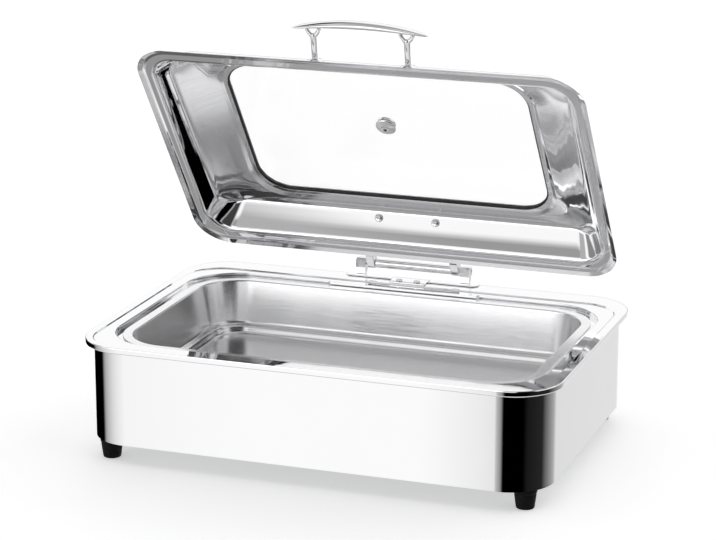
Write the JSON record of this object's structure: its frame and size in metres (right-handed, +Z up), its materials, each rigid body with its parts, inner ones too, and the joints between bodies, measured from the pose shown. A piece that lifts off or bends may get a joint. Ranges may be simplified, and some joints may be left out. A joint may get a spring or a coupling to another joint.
{
  "type": "electric chafing dish",
  "caption": "Electric chafing dish: polished steel housing on rubber feet, lift-out food pan, and a hinged lid with a glass window and an arched handle, held open.",
  "frame": {"origin": "On the surface that the feet stand on, under the middle of the box round the dish with its lid open as drawn.", "axes": "+Z up; +X along the length, to the right of someone who faces the front; +Y to the rear, towards the hinge."},
  "size_m": [0.594, 0.4202, 0.5222],
  "materials": {
    "polished_steel": "mirror polished stainless steel",
    "satin_steel": "satin stainless steel",
    "sheet_steel": "mill finish stainless sheet",
    "heater_steel": "oxidised heater sheath",
    "black_rubber": "matt black rubber",
    "silicone": "black silicone seal",
    "black_plastic": "fine textured black plastic",
    "lamp_red": "clear red plastic",
    "ceramic": "pale unglazed ceramic",
    "clear_glass": "clear tempered glass"
  },
  "bodies": {
    "base": {"housing_band": "polished_steel", "base_plate": "sheet_steel", "foot_front_left": "black_rubber", "foot_screw_front_left": "satin_steel", "foot_front_right": "black_rubber", "foot_screw_front_right": "satin_steel", "foot_rear_left": "black_rubber", "foot_screw_rear_left": "satin_steel", "foot_rear_right": "black_rubber", "foot_screw_rear_right": "satin_steel", "top_frame": "polished_steel", "water_pan": "sheet_steel", "heating_element": "heater_steel", "element_saddle_left": "sheet_steel", "element_saddle_right": "sheet_steel", "heat_shield": "sheet_steel", "shield_spacer_front_left": "satin_steel", "shield_spacer_front_right": "satin_steel", "shield_spacer_rear_left": "satin_steel", "shield_spacer_rear_right": "satin_steel", "thermostat_bulb": "satin_steel", "control_panel": "satin_steel", "control_box": "sheet_steel", "terminal_block": "ceramic", "thermostat_body": "black_plastic", "pilot_lamp": "lamp_red", "switch_body": "black_plastic", "cutout_body": "ceramic", "power_inlet": "black_plastic", "hinge_base": "polished_steel", "hinge_clip": "polished_steel", "clip_screw_left": "satin_steel", "clip_screw_right": "satin_steel", "hinge_ear_left": "polished_steel", "hinge_ear_right": "polished_steel", "hinge_pin": "satin_steel"},
    "food_pan": {"food_pan": "satin_steel"},
    "knob": {"thermostat_knob": "black_plastic"},
    "rocker": {"switch_rocker": "black_plastic"},
    "reset": {"reset_button": "lamp_red"},
    "lid": {"lid_shell": "polished_steel", "window_gasket": "silicone", "window_glass": "clear_glass", "window_trim": "polished_steel", "vent_body": "polished_steel", "vent_nut": "satin_steel", "lid_bracket": "polished_steel", "hinge_arm_left": "polished_steel", "hinge_arm_right": "polished_steel", "hinge_barrel": "polished_steel", "bracket_screw_left": "satin_steel", "bracket_screw_right": "satin_steel", "handle_foot_left": "polished_steel", "handle_foot_right": "polished_steel", "handle_post_left": "polished_steel", "handle_post_right": "polished_steel", "handle_screw_left": "satin_steel", "handle_screw_right": "satin_steel", "handle_bar": "polished_steel"}
  },
  "joints": [
    {"name": "lid_hinge", "type": "hinge", "parent": "base", "child": "lid", "pos_m": [0, 0.1975, 0.1655], "axis": [-1, 0, 0], "range_deg": [-54, 36]},
    {"name": "food_pan_lift", "type": "slide", "parent": "base", "child": "food_pan", "axis": [0, 0, 1], "range_m": [0, 0.05]},
    {"name": "thermostat_turn", "type": "hinge", "parent": "base", "child": "knob", "pos_m": [0.203, 0.1921, 0.08595], "axis": [0, -1, 0], "range_deg": [0, 300]},
    {"name": "power_rocker", "type": "hinge", "parent": "base", "child": "rocker", "pos_m": [0.162, 0.1911, 0.07395], "axis": [0, 0, -1], "range_deg": [0, 15]},
    {"name": "reset_press", "type": "slide", "parent": "base", "child": "reset", "axis": [0, -1, 0], "range_m": [0, 0.002], "stiffness_N_per_m": 400, "springref_m": -0.003}
  ]
}
